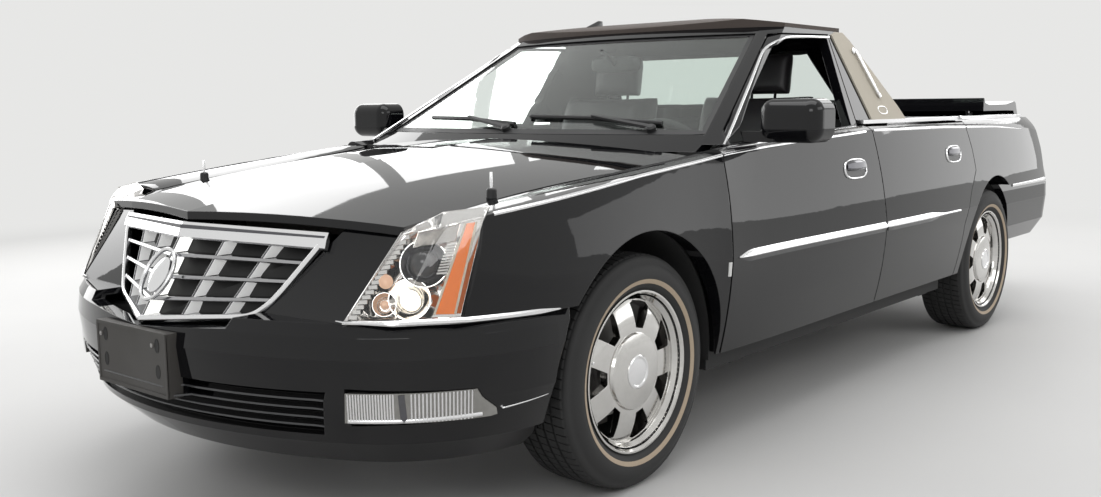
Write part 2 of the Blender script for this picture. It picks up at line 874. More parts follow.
def packed(node: str) -> Form:
    """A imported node's own faces.

    Args:
        node: The node.

    Returns:
        The form.
    """
    form, mesh = Form(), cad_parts[node].data
    for polygon in mesh.polygons:
        form.add([mesh.vertices[index].co for index in polygon.vertices], [range(len(polygon.vertices))])
    return form


class Repeat:
    """Copies of one form in a row or round an axle, by one Geometry Nodes tree."""

    def __init__(self) -> None:
        """Builds the tree: a line of points, the form on each of them, turned step by step."""
        self.tree = bpy.data.node_groups.new("repeat_in_row", "GeometryNodeTree")
        face = self.tree.interface
        kinds = {"Form": "Geometry", "Count": "Int", "Step": "Vector", "Turn": "Vector", "Place": "Vector",
                 "Finish": "Material"}
        self.inputs = {label: face.new_socket(label, in_out="INPUT", socket_type=f"NodeSocket{kind}").identifier
                       for label, kind in kinds.items()}
        face.new_socket("Copies", in_out="OUTPUT", socket_type="NodeSocketGeometry")
        nodes = {label: self.tree.nodes.new(kind) for label, kind in (
            ("given", "NodeGroupInput"), ("result", "NodeGroupOutput"), ("line", "GeometryNodeMeshLine"),
            ("turned", "ShaderNodeVectorMath"), ("copies", "GeometryNodeInstanceOnPoints"),
            ("real", "GeometryNodeRealizeInstances"), ("moved", "GeometryNodeTransform"),
            ("painted", "GeometryNodeSetMaterial"), ("index", "GeometryNodeInputIndex"))}
        nodes["line"].mode, nodes["line"].count_mode = "OFFSET", "TOTAL"
        nodes["turned"].operation = "SCALE"
        for source, output, target, entry in (
            ("given", "Count", "line", "Count"), ("given", "Step", "line", "Offset"), ("given", "Turn", "turned", 0),
            ("index", 0, "turned", "Scale"), ("line", 0, "copies", "Points"), ("given", "Form", "copies", "Instance"),
            ("turned", 0, "copies", "Rotation"), ("copies", 0, "real", 0), ("real", 0, "moved", "Geometry"),
            ("given", "Place", "moved", "Translation"), ("moved", 0, "painted", "Geometry"),
            ("given", "Finish", "painted", "Material"), ("painted", 0, "result", 0),
        ):
            self.tree.links.new(nodes[source].outputs[output], nodes[target].inputs[entry])

    def piece(self, form: Form, name: str, count: int, finish: Finish, body: str = "chassis", slot: str = "",
              step: Point = (0, 0, 0), turn: Point = (0, 0, 0), place: Point = (0, 0, 0), sharp: float = 20.0) -> None:
        """One piece of all the copies.

        Args:
            form: What is repeated, drawn about the origin.
            name: The piece's name.
            count: How many there are.
            finish: The finish.
            body: The body that it rides on.
            slot: The record's material slot, where it isn't the finish's own.
            step: The way from one to the next, in metres.
            turn: The turn from one to the next, in radians.
            place: Where the first one's origin goes.
            sharp: The angle in degrees past which an edge is sharp.
        """
        seed = scene_object(name + "_seed", form.mesh(name + "_seed", sharp))
        maker = seed.modifiers.new("repeat", "NODES")
        maker.node_group = self.tree
        values = {"Count": count, "Step": step, "Turn": turn, "Place": place, "Finish": finish.material()}
        for label, value in values.items():
            maker[self.inputs[label]] = value
        mesh = bpy.data.meshes.new_from_object(seed.evaluated_get(bpy.context.evaluated_depsgraph_get()))
        bpy.data.objects.remove(seed)
        mesh.name = name
        settle(scene_object(name, mesh), finish, body, slot)


@dataclass
class Tyres:
    """The four tyres with their tread and pale rings, and the wheels' small parts."""

    repeat: Repeat
    radius: float = 0.345
    half_width: float = 0.1175
    bead: float = 0.094
    seat: float = 0.222
    flange: float = 0.240
    grooves: tuple[float, ...] = (-0.051, -0.0175, 0.0175, 0.051)
    groove_width: float = 0.0085
    tread_depth: float = 0.007
    lugs: int = 78
    ring_radii: Flat = (0.2585, 0.2715)
    medallion: float = 0.050
    cap_face: float = 0.0991
    valve: Flat = (0.196, 0.06)

    def build(self) -> None:
        """Makes the pieces of all four wheels."""
        for end, axle_x in (("front", FRONT_AXLE_X), ("rear", REAR_AXLE_X)):
            for side, sign in zip(SIDES, (1.0, -1.0)):
                centre, out = Vector((axle_x, sign * HALF_TRACK[end], AXLE_Z)), ASIDE * sign
                body, wheel = f"{end}_wheel_{side}", f"{end}_{side}"
                Form().turn(centre, out, self.carcass(), 96, ring=True).piece(
                    f"tyre_{wheel}", RUBBER, body, sharp=40, replaces=[f"{end}_tyre_{side}"])
                self.repeat.piece(self.tread_lug(), f"tread_{wheel}", self.lugs, RUBBER, body,
                                  turn=(0, math.tau / self.lugs, 0), place=tuple(centre))
                Form().turn(centre, out, self.ring(), 96, ring=True).piece(f"tyre_ring_{wheel}", RING, body, sharp=50)
                stem = centre + Vector((self.valve[0], 0, self.valve[1])) + out * 0.066
                cap = Form().turn(centre, out, self.cap(), 48)
                cap.turn(stem, out, [(0, 0), (0.004, 0), (0.004, 0.022), (0, 0.024)], 12)
                cap.piece(f"wheel_cap_{wheel}", CHROME, body, sharp=30)

    def side_curve(self) -> list[Flat]:
        """One sidewall, from the rim to the tread.

        Returns:
            Points as (across, radius).
        """
        half, flange = self.half_width, self.flange
        wall = [(self.bead, self.seat), (self.bead, flange)]
        wall += arc(wall[-1], (half, flange + 0.044), (half - 0.014, self.radius - 0.026), 12)
        return wall + arc(wall[-1], (half - 0.020, self.radius - 0.009), (half - 0.040, self.radius - 0.002), 5)

    def carcass(self) -> list[Flat]:
        """The tyre's body, with its tread's floor below the lugs.

        Returns:
            Its profile.
        """
        floor = self.radius - self.tread_depth
        outer = [(min(radius, floor), across) for across, radius in self.side_curve()]
        inner = [(radius, -across) for radius, across in reversed(outer)]
        return outer + [(floor, across) for across in (0.05, 0.02, -0.02, -0.05)] + inner

    def tread_lug(self) -> Form:
        """The tread's ribs over one step of the tyre's turn.

        Returns:
            The form, drawn about the axle.
        """
        edge = self.half_width - 0.0165
        stops = [-edge, *self.grooves, edge]
        angle = math.pi / self.lugs * 0.86
        form = Form()
        for first, last in zip(stops, stops[1:]):
            low = first + (self.groove_width / 2 if first > -edge else 0)
            high = last - (self.groove_width / 2 if last < edge else 0)
            rows = []
            for share in (0.0, 0.33, 0.67, 1.0):
                across = low + (high - low) * share
                top = self.radius - (0.002 * (across / 0.0775) ** 2 + max(0.0, abs(across) - 0.080) ** 2 * 26)
                foot = top - 0.0095
                slant = 0.05 * across / self.half_width
                rows.append([Vector((math.sin(a + slant) * r, across, math.cos(a + slant) * r))
                             for a, r in ((-angle, top), (angle, top), (angle, foot), (-angle, foot))])
            form.loft(rows)
        return form

    def ring(self) -> list[Flat]:
        """The pale ring on the outer wall.

        Returns:
            Its profile.
        """
        low, high = self.ring_radii
        wall = [(radius, across) for across, radius in self.side_curve() if radius >= self.flange - 0.001]
        line = [(r, level(wall, r) + 0.0007) for r in (low, (low * 2 + high) / 3, (low + high * 2) / 3, high)]
        return line + [(r, a - 0.004) for r, a in reversed(line)]

    def cap(self) -> list[Flat]:
        """The plain medallion on the wheel's cap.

        Returns:
            Its profile.
        """
        face, rim = self.cap_face, self.medallion
        return [(0, face - 0.006), (rim, face - 0.006), (rim, face + 0.0012), (rim - 0.003, face + 0.0035),
                (rim - 0.008, face + 0.0035), (rim - 0.011, face + 0.0008), (rim * 0.5, face + 0.0025),
                (0, face + 0.0032)]


@dataclass
class BodyTrim:
    """The chrome lines, mouldings, handles and bars along the body's sides."""

    moulding_half: float = 0.019
    moulding_proud: float = 0.012
    moulding_z: float = 0.631
    handle_half: Flat = (0.086, 0.035)
    handle_places: tuple[tuple[str, float, float], ...] = (("front_door", 0.226, 0.868), ("rear_door", -0.773, 0.885))
    shoulder: tuple[Flat, ...] = (
        (2.150, 0.850), (1.958, 0.871), (1.580, 0.913), (1.278, 0.939), (1.128, 0.956), (0.030, 1.006), (-0.700, 1.004),
        (-1.468, 0.991), (-1.900, 0.972),
    )
    shoulder_parts: tuple[tuple[str, str, float, float], ...] = (
        ("front_fender", "chassis", 2.150, 1.1440), ("front_door", "front_door_{side}", 1.1350, 0.0350),
        ("rear_door", "rear_door_{side}", 0.0230, -0.9800), ("quarter_panel", "chassis", -0.9930, -1.900),
    )

    def build(self) -> None:
        """Makes all of it."""
        for part in (self.shoulder_lines, self.mouldings, self.handles, self.window_trim, self.rail_ends,
                     self.landau_bars, self.markers):
            part()

    def shoulder_lines(self) -> None:
        """The thin line from headlamp to tail, one part a panel."""
        for node, body, start, end in self.shoulder_parts:
            skin = Skin(f"{node}_left")
            path = [skin.side(x, level(self.shoulder, x)) for x, in run_through([(start,), (end,)], 0.03)]
            last = node == "quarter_panel"
            form = Form().sweep(smoothed(path), strip(0.010, 0.0035), thinning(0.8 * last, 0.6 * last))
            form.pair(f"shoulder_line_{node}", CHROME, body)

    def mouldings(self) -> None:
        """The wide mouldings low on the doors, pointed in front and thin behind."""
        def front_scale(share: float) -> Flat:
            """Narrow at the pointed front end."""
            return min(1.0, 0.12 + share * 15), min(1.0, 0.4 + share * 8)

        def rear_scale(share: float) -> Flat:
            """Narrow over the rear part."""
            rest = min(1.0, max(0.0, share - 0.56) / 0.44 * 2.2)
            return 1.0 - 0.72 * rest, 1.0 - 0.55 * rest

        half, proud = self.moulding_half, self.moulding_proud
        edge = -half * 0.1
        upper = [(edge, -0.003), (half, -0.003), (half, proud * 0.2), (half * 0.2, proud), (edge, proud)]
        lower = [(-half, -0.003), (edge, -0.003), (edge, proud * 0.97), (-half, proud * 0.25)]
        for node, start, end, scale in (("front_door", 1.100, 0.0, front_scale),
                                        ("rear_door", -0.012, -0.830, rear_scale)):
            path = laid(Skin(f"{node}_left").side, [(start, self.moulding_z), (end, self.moulding_z)], 0.025)
            for name, section, finish in (("side_moulding", upper, CHROME), ("moulding_foot", lower, PROJECTOR)):
                Form().sweep(path, section, scale).pair(f"{name}_{node}", finish, node + "_{side}", slot=CHROME.slot)

    @staticmethod
    def oblong(skin: Skin, x: float, z: float, half: Flat) -> list[Spot]:
        """A rounded oblong on a side panel.

        Args:
            skin: The panel.
            x: Its middle's length.
            z: Its middle's height.
            half: Half its length and height.

        Returns:
            Its places, with one normal for all.
        """
        made = [skin.side(x + a, z + b) for a, b in oval(48, *half, (0.7, 0.7))]
        out = sum((normal for _, normal in made), Vector()).normalized()
        return [(place, out) for place, _ in made]

    def handles(self) -> None:
        """The pull handles in their oval bezels."""
        grip = [(-0.017, 0.0), (0.017, 0.0), (0.019, 0.008), (0.012, 0.015), (-0.010, 0.017), (-0.018, 0.010)]
        for node, x, z in self.handle_places:
            skin, body = Skin(f"{node}_left"), node + "_{side}"
            rim = self.oblong(skin, x, z, self.handle_half)
            Form().sweep(rim, strip(0.008, 0.006), ring=True).pair(f"handle_bezel_{node}", CHROME, body)
            inner = self.oblong(skin, x, z, (self.handle_half[0] - 0.004, self.handle_half[1] - 0.004))
            inside = [place + out * 0.0015 for place, out in inner]
            middle = sum(inside, Vector()) / len(inside)
            rings = [[middle.lerp(point, share) for point in inside] for share in (1.0, 0.6, 0.2)]
            behind = [[point - ASIDE * 0.003 for point in ring] for ring in reversed(rings)]
            Form().loft(behind + rings).pair(f"handle_cup_{node}", BLACK_PLASTIC, body)
            bar = [skin.side(x + step, z + 0.012) for step in (-0.074, -0.05, -0.025, 0.0, 0.025, 0.05, 0.074)]
            form = Form().sweep(bar, grip, lambda share: (1.0 - 0.35 * abs(share * 2 - 1) ** 3,
                                                          1.0 - 0.4 * abs(share * 2 - 1) ** 3))
            form.pair(f"handle_pull_{node}", DARK_CHROME, body)

    def window_trim(self) -> None:
        """The bright lines round the front window and along its sill."""
        line = [(1.040, 0.980), (0.900, 1.0635), (0.700, 1.1835), (0.500, 1.3045), (0.452, 1.329), (0.400, 1.346),
                (0.340, 1.360), (0.200, 1.3675), (-0.026, 1.374)]
        path = smoothed(laid(self.glasshouse_side, line, 0.03))
        Form().sweep(path, strip(0.010, 0.005)).pair("window_frame_line", CHROME, "front_door_{side}")
        out = Vector((0, 0.80, 0.60))
        for name, finish, rise, width, start in (("window_sill_line", CHROME, 0.0, 0.010, 1.046),
                                                 ("window_sill_seal", BLACK_PLASTIC, 0.008, 0.007, 1.02)):
            path = []
            for x, in run_through([(start,), (0.092,)], 0.03):
                share = (1.150 - x) / 1.120
                path.append((Vector((x, 0.868 - 0.006 * share - rise * 0.8, 0.9690 + 0.054 * share + rise * 0.6)), out))
            Form().sweep(path, strip(width, 0.0045)).pair(name, finish, "front_door_{side}", slot=CHROME.slot)

    @staticmethod
    def glasshouse_side(x: float, z: float) -> Spot:
        """The outer face beside the front window, which turns in to the windscreen at its front.

        Args:
            x: The length.
            z: The height.

        Returns:
            The place and its normal.
        """
        up = (z - 0.960) / 0.440
        turn, side, corner = 1.065 - 0.747 * up, 0.877 - 0.207 * up, (1.104 - 0.741 * up, 0.790 - 0.194 * up)
        share = max(0.0, min(1.0, (x - turn) / (corner[0] - turn)))
        return Vector((x, side + (corner[1] - side) * share, z)), Vector((0.9 * share, 0.88, 0.42)).normalized()

    def rail_ends(self) -> None:
        """The cap at the end of the bed's rail and the thin line behind it."""
        skin = Skin("quarter_panel_left", "bed_rails")
        path = laid(skin.side, [(-1.052, 1.036), (-1.400, 1.026), (-1.750, 1.008)], 0.03)
        Form().sweep(smoothed(path, 5), strip(0.006, 0.003), thinning(0.6, 0.6)).pair("rail_line", CHROME)
        cap = [skin.side(x, 1.0425) for x in (-1.020, -1.035, -1.050, -1.062)]
        Form().sweep(smoothed(cap, 4), strip(0.018, 0.008), thinning(0.3, 0.3)).pair("rail_cap", CHROME)

    def landau_bars(self) -> None:
        """The slim bars with a scroll at each end on the sail panels."""
        skin = Skin("sail_panels")
        line = [(-0.1765, 1.313), (-0.170, 1.322), (-0.178, 1.330), (-0.190, 1.320), (-0.197, 1.300), (-0.203, 1.270),
                (-0.209, 1.240), (-0.219, 1.205), (-0.229, 1.175), (-0.236, 1.150), (-0.246, 1.133), (-0.258, 1.136),
                (-0.258, 1.148)]
        path = []
        for index, (x, z) in enumerate(line):
            place, out = skin.side(x, z)
            path.append((place + out * (0.004 + 0.007 * math.sin(math.pi * index / (len(line) - 1))), out))
        form = Form().sweep(path, oval(10, 0.0065, 0.005), lambda share: (0.75 + 0.55 * math.sin(math.pi * share),) * 2)
        for x, z in ((-0.180, 1.320), (-0.252, 1.143)):
            form.turn(*skin.side(x, z), [(0, -0.002), (0.010, -0.002), (0.010, 0.006), (0.006, 0.010), (0, 0.011)], 16)
        form.pair("landau_bar", CHROME)
        rim = self.oblong(skin, -0.236, 1.083, (0.040, 0.015))
        Form().sweep(rim, strip(0.004, 0.002), ring=True).pair("sail_badge_rim", CHROME)

    def markers(self) -> None:
        """The small side markers, the flag sockets on the hood and the aerial's fin."""
        skin = Skin("front_fender_left")
        path = [skin.side(1.153, z) for z in (0.578, 0.586, 0.614, 0.622)]
        Form().sweep(path, strip(0.016, 0.005)).pair("wing_marker", MARKER)
        place, _ = Skin("hood").top(1.958, 0.682)
        socket = [(0, -0.004), (0.015, -0.004), (0.014, 0.020), (0.011, 0.024), (0, 0.025)]
        Form().turn(place, UP, socket, 24).pair("flag_socket", BLACK_PLASTIC, "hood")
        rod = [(0, 0), (0.0042, 0), (0.0042, 0.041), (0.003, 0.044), (0, 0.045)]
        Form().turn(place + UP * 0.023, UP, rod, 16).pair("flag_rod", CHROME, "hood")
        place, _ = Skin("roof").top(0.230, -0.300)
        rows = []
        for share in (0.0, 0.15, 0.35, 0.6, 0.85, 1.0):
            around = oval(20, 0.115 * (1 - share * 0.72) / 2, 0.024 * (1 - share ** 2 * 0.8) / 2)
            rows.append([place + Vector((x - 0.040 * share, y, 0.030 * share - 0.003)) for x, y in around])
        Form().loft(rows).piece("aerial_fin", BLACK_PLASTIC)


@dataclass
class HeadLamps:
    """Both headlamps: clear cover, bright bowls, projector, lit lamp, amber strip and the line below."""

    inner_low: Point = (2.440, 0.638, 0.604)
    outer_low: Point = (2.254, 0.849, 0.612)
    outer_high: Point = (2.190, 0.868, 0.852)
    inner_high: Point = (2.298, 0.695, 0.806)
    cover_facing: Point = (0.62, 0.55, 0.30)
    cover_limit: float = 0.12
    cover_cuts: int = 9
    cover_passes: int = 24
    cover_wall: float = 0.003
    housing_wall: float = 0.002
    amber_gap: float = 0.0055
    amber_thickness: float = 0.004
    amber_steps: int = 14

    def __post_init__(self) -> None:
        """Works out the direction that the lamp faces."""
        across, up = (Vector(end) - Vector(self.inner_low) for end in (self.outer_low, self.inner_high))
        self.out = across.cross(up).normalized()

    def build(self) -> None:
        """Makes all of it."""
        for part in (self.shell, self.bowls, self.amber, self.bright_parts, self.under_line):
            part()

    def spot(self, across: float, up: float, deep: float) -> Vector:
        """A place in the left lamp.

        Args:
            across: From 0 at the inner edge to 1 at the outer edge.
            up: From 0 at the bottom to 1 at the top.
            deep: How far behind the plane of the corners.

        Returns:
            The place.
        """
        corners = (self.inner_low, self.outer_low, self.inner_high, self.outer_high)
        return in_patch(corners, across, up) - self.out * deep

    def shell(self) -> None:
        """The clear cover in front and the bright housing behind it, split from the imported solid."""
        built = bmesh.new()
        built.from_mesh(packed("headlamps").mesh("lamp_shell", 30))
        x, y, z = self.cover_facing
        ahead = [face.normal.dot(Vector((x, math.copysign(y, face.calc_center_median().y), z))) > self.cover_limit
                 for face in built.faces]
        for name, finish, cover, wall, sharp, replaces in (
            ("headlamp_covers", LENS, True, self.cover_wall, 50, ["headlamps"]),
            ("headlamp_housings", LAMP_CHROME, False, self.housing_wall, 30, []),
        ):
            part = built.copy()
            gone = [face for face, is_ahead in zip(part.faces, ahead) if is_ahead != cover]
            bmesh.ops.delete(part, geom=gone, context="FACES")
            if cover:
                self.crown(part)
            made = scene_object(name, shaded(part, name, sharp))
            thick = made.modifiers.new("wall", "SOLIDIFY")
            thick.thickness, thick.offset = wall, -1.0
            settle(made, finish, "chassis", LENS.slot, replaces)
        built.free()

    def crown(self, cover: bmesh.types.BMesh) -> None:
        """Divides the cover and smooths it inside its rim.

        Args:
            cover: The cover's mesh.
        """
        bmesh.ops.subdivide_edges(cover, edges=cover.edges, cuts=self.cover_cuts, use_grid_fill=True)
        inner = [corner for corner in cover.verts if not corner.is_boundary]
        for _ in range(self.cover_passes):
            bmesh.ops.smooth_vert(cover, verts=inner, factor=0.5, use_axis_x=True, use_axis_y=True, use_axis_z=True)

    def bowls(self) -> None:
        """The upper bowl with its projector, the lower one with the lit lamp and the small one beside it."""
        upper, lower, beside = self.spot(0.47, 0.60, 0.030), self.spot(0.48, 0.215, 0.030), self.spot(0.27, 0.17, 0.026)
        form = Form().turn(upper, self.out, self.bowl(0.060, 0.050), ring=True)
        form.turn(lower, self.out, self.bowl(0.052, 0.046), ring=True).pair("headlamp_bowls", LAMP_CHROME, sharp=25)
        ball = [(0.036 * math.cos(a), 0.036 * math.sin(a) - 0.006) for a in map(math.radians, range(0, 90, 10))]
        collar = [(0.0375, -0.024), (0.046, -0.024), (0.046, -0.008), (0.042, -0.002), (0.0375, -0.004)]
        lit = [(0, -0.030), (0.022, -0.030), (0.024, -0.008), (0.019, 0.006), (0.010, 0.013), (0, 0.015)]
        light = [(0, -0.016), (0.011, -0.016), (0.011, -0.002), (0.006, 0.005), (0, 0.006)]
        for name, finish, centre, profile, sides, ring in (
            ("projector", PROJECTOR, upper, [(0, -0.030), (0.036, -0.030), *ball, (0, 0.030)], 32, False),
            ("collar", DARK_CHROME, upper, collar, 32, True), ("lit", LIT, lower, lit, 28, False),
            ("side_bowl", LAMP_CHROME, beside, self.bowl(0.030, 0.024), 28, True),
            ("side_light", WARM, beside, light, 20, False),
        ):
            Form().turn(centre, self.out, profile, sides, ring).pair(f"headlamp_{name}", finish)

    @staticmethod
    def bowl(radius: float, deep: float) -> list[Flat]:
        """A bowl with stepped rings inside.

        Args:
            radius: Its rim's radius, in metres.
            deep: Its depth.

        Returns:
            Its profile as (radius, outward).
        """
        inside = []
        for step in range(9):
            share = step / 8
            inside.append((radius * (0.30 + 0.66 * share), -deep * (1 - share ** 1.8) + 0.0015 * (step % 2)))
        back = -deep - 0.003
        return inside + [(radius, 0.0), (radius, -0.006), (radius * 0.62, back), (radius * 0.28, back)]

    def amber(self) -> None:
        """The amber strip down the outer edge with its pale edges, just behind the cover."""
        skin = Skin("headlamps")
        front = []
        for up, in between((0,), (1,), self.amber_steps):
            row = []
            inner, outer = 0.775 + 0.035 * up, 0.952 - 0.012 * up
            for share in (0.0, 0.33, 0.67, 1.0):
                place, _ = skin.hit(self.spot(inner + (outer - inner) * share, 0.02 + 0.93 * up, -0.25), -self.out)
                row.append(place - self.out * self.amber_gap)
            front.append(row)
        back = [[place - self.out * self.amber_thickness for place in reversed(row)] for row in front]
        Form().loft([outer + inner for outer, inner in zip(front, back)]).pair("headlamp_amber", AMBER, sharp=50)
        edges = Form()
        for side in (0, 3):
            edges.sweep([(row[side] + self.out * 0.001, self.out) for row in front], strip(0.0055, 0.0016, 0.004))
        edges.pair("headlamp_amber_edges", CREAM)

    def bright_parts(self) -> None:
        """The serrated reflectors at the top, inner edge and beside the bowls, and the warm patch."""
        form = Form()
        for steps, first, last, ends, (half, top, proud) in (
            (15, (0.80, 0.020), (0.965, 0.008), lambda up: (0.26 - 0.16 * (up - 0.8), 0.5, 0.74),
             (0.0016, 0.0013, 0.0025)),
            (16, (0.03, 0.010), (0.93, 0.010), lambda up: (0.035, 0.10 + 0.05 * up), (0.0062, 0.005, 0.003)),
            (10, (0.46, 0.018), (0.76, 0.018), lambda up: (0.66, 0.765), (0.0030, 0.0024, 0.003)),
        ):
            for up, back in between(first, last, steps):
                path = [(self.spot(across, up, back), self.out) for across in ends(up)]
                form.sweep(path, [(-half, -0.004), (half, -0.004), (top, 0.001), (-top, proud)])
        form.pair("headlamp_reflectors", LAMP_CHROME, sharp=20)
        patch = [(0, -0.006), (0.016, -0.006), (0.018, 0.002), (0.010, 0.008), (0, 0.009)]
        Form().turn(self.spot(0.175, 0.42, 0.012), self.out, patch, 20).pair("headlamp_warm_patch", WARM)

    def under_line(self) -> None:
        """The chrome line under the lamp, back along the wing."""
        skin = Skin("front_bumper", "front_fender_left", "headlamps")
        line = [(2.452, 0.620, 0.5965), (2.350, 0.752, 0.597), (2.258, 0.846, 0.598), (2.150, 0.885, 0.5965),
                (2.050, 0.905, 0.595), (1.962, 0.915, 0.5935)]
        path = []
        for x, y, z in run_through(line, 0.025):
            share = max(0.0, min(1.0, (2.30 - x) / 0.25))
            toward = Vector((-0.75 + 0.60 * share, -0.66 - 0.32 * share, 0))
            path.append(skin.hit(Vector((x, y, z)) - toward * 0.3, toward))
        section = [(-0.0075, -0.004), (0.0075, -0.004), (0.0075, 0.001), (0.003, 0.006), (-0.004, 0.006),
                   (-0.0075, 0.002)]
        form = Form().sweep(path, section, lambda share: (min(1.0, (1 - share) * 6 + 0.25, share * 3 + 0.3),) * 2)
        form.pair("headlamp_under_line", CHROME)


@dataclass
class Nose:
    """The grille's plain ring, frame and blades, the plate bracket, the fog lamps and the lower lines."""

    repeat: Repeat
    grille: tuple[Point, ...] = ((2.606, 0.0, 0.553), (2.463, 0.340, 0.575), (2.462, 0.0, 0.792), (2.352, 0.484, 0.780))
    bars: tuple[float, ...] = (0.03, 0.2325, 0.465, 0.6975, 0.93)
    blade_depth: float = 0.044
    ring_half: Flat = (0.062, 0.074)
    shield_half: Flat = (0.040, 0.052)
    bracket_face: float = 2.6395
    bracket_half: float = 0.1735
    bracket_heights: Flat = (0.3705, 0.5415)
    fog_centre: Flat = (1.9693, 0.3664)
    ribs: int = 17

    def build(self) -> None:
        """Makes all of it."""
        for part in (self.ring, self.screen, self.header, self.frame_and_blades, self.bracket, self.fog_lamps,
                     self.lower_lines):
            part()

    def ring(self) -> None:
        """A plain oval ring round a plain crowned shield at the middle of the grille."""
        low, high = self.face_point(0, 0), self.face_point(0, 1)
        up = (high - low).normalized()
        out = ASIDE.cross(up).normalized()
        centre = low.lerp(high, 0.47) + out * 0.012
        path = [(centre + ASIDE * across + up * rise, out) for across, rise in oval(48, *self.ring_half)]
        rows = []
        for share in (1.0, 0.97, 0.85, 0.65, 0.4, 0.15):
            crown = out * (0.012 * (1 - share ** 2) - 0.002)
            around = oval(40, *(half * share for half in self.shield_half))
            rows.append([centre + ASIDE * across + up * rise + crown for across, rise in around])
        back = [point - out * 0.014 for point in rows[0]]
        Form().sweep(path, oval(10, 0.0055, 0.006), ring=True).loft([back, *rows]).piece("grille_ring", CHROME)

    def face_point(self, across: float, up: float, proud: float = 0.0) -> Vector:
        """A place on the left half of the grille's leaning face, and forward of it."""
        return in_patch(self.grille, across, up) + AHEAD * proud

    def frame_and_blades(self) -> None:
        """The bright frame with its rounded lower corner, and the blades' and bars' bright faces."""
        foot, aside, top = (self.face_point(*place) for place in ((0, 0), (1, 0), (0, 1)))
        out = (aside - foot).cross(top - foot).normalized()
        corner = [(0.985, 0.93), (0.985, 0.34), (0.978, 0.22), (0.955, 0.12), (0.915, 0.055), (0.86, 0.03), (0.0, 0.03)]
        path = [(self.face_point(*place, 0.006), out) for place in run_through(corner, 0.05)]
        Form().sweep(smoothed(path), strip(0.015, 0.006, 0.012)).pair("grille_frame", CHROME)
        blades = Form()
        for column in (0, 1 / 3, 2 / 3):
            for below, above in zip(self.bars, self.bars[1:]):
                low, high, back = below + 0.022, above - 0.020, -self.blade_depth
                for side in (1, -1):
                    corners = [self.face_point(column, *place) + ASIDE * (side * 0.0042)
                               for place in ((low, 0.0), (high, 0.0), (high, back), (low, back))]
                    blades.plate(corners, ASIDE * (side * 0.0008))
        blades.pair("grille_blade_flanks", BLADE_BRIGHT)
        section = [(-0.0055, -0.004), (0.0055, -0.004), (0.0055, 0.001), (0.004, 0.003), (-0.004, 0.003),
                   (-0.0055, 0.001)]
        bars = Form()
        for up, end in zip(self.bars[1:-1], (0.975, 0.985, 0.985)):
            bars.sweep([(self.face_point(*place), out) for place in run_through([(0.0, up), (end, up)], 0.1)], section)
        bars.pair("grille_bar_faces", BAR_CHROME)

    def screen(self) -> None:
        """The dark mesh close behind the grille's blades."""
        corners = ((0, 0.02), (1, 0.02), (1, 0.925), (0, 0.925))
        outline = [self.face_point(across, up, -0.0465) for across, up in corners]
        form = Form()
        for sign in (1, -1):
            form.plate([Vector((point.x, sign * point.y, point.z)) for point in outline], AHEAD * 0.001)
        form.piece("grille_screen", SCREEN)

    def header(self) -> None:
        """The wide bright bar along the top of the grille, creased at the middle."""
        out = Vector((0.90, 0.20, 0.40)).normalized()
        path = [(Vector(place), out) for place in run_through([(2.4685, 0.0, 0.785), (2.357, 0.486, 0.776)], 0.06)]
        section = [(-0.023, -0.008), (0.022, -0.008), (0.0235, 0.0), (0.021, 0.0045), (0.0, 0.0065), (-0.021, 0.0045),
                   (-0.0245, 0.0)]
        Form().sweep(path, section).pair("grille_header", CHROME)

    def bracket(self) -> None:
        """The blank plate bracket with its rim, slots and bolts."""
        face, half, (low, high) = self.bracket_face, self.bracket_half, self.bracket_heights
        form = Form().block((2.594, -half, low), (face - 0.002, half, high))
        for y0, y1, z0, z1 in ((-half, half, 0.532, high), (-half, half, low, 0.380), (-half, -0.166, 0.380, 0.532),
                               (0.166, half, 0.380, 0.532)):
            form.block((face - 0.004, y0, z0), (face, y1, z1))
        form.piece("plate_bracket", BRACKET, bevel=0.0008)
        slots, bolts = Form(), Form()
        head = [(0, 0), (0.006, 0), (0.006, 0.003), (0.003, 0.004), (0, 0.0042)]
        for y in (-0.130, 0.130):
            bolts.turn(Vector((face - 0.002, y - 0.022, 0.505)), AHEAD, head, 12)
            for z in (0.506, 0.437):
                slots.loft([[Vector((face - deep, y + across, z + up))
                             for across, up in oval(20, 0.0105 * share, 0.019 * share)]
                            for share, deep in ((1.0, 0.0030), (1.0, 0.0012), (0.90, 0.0010), (0.86, 0.0016))])
        slots.piece("plate_bracket_slots", SCREEN)
        bolts.piece("plate_bracket_bolts", IRON)

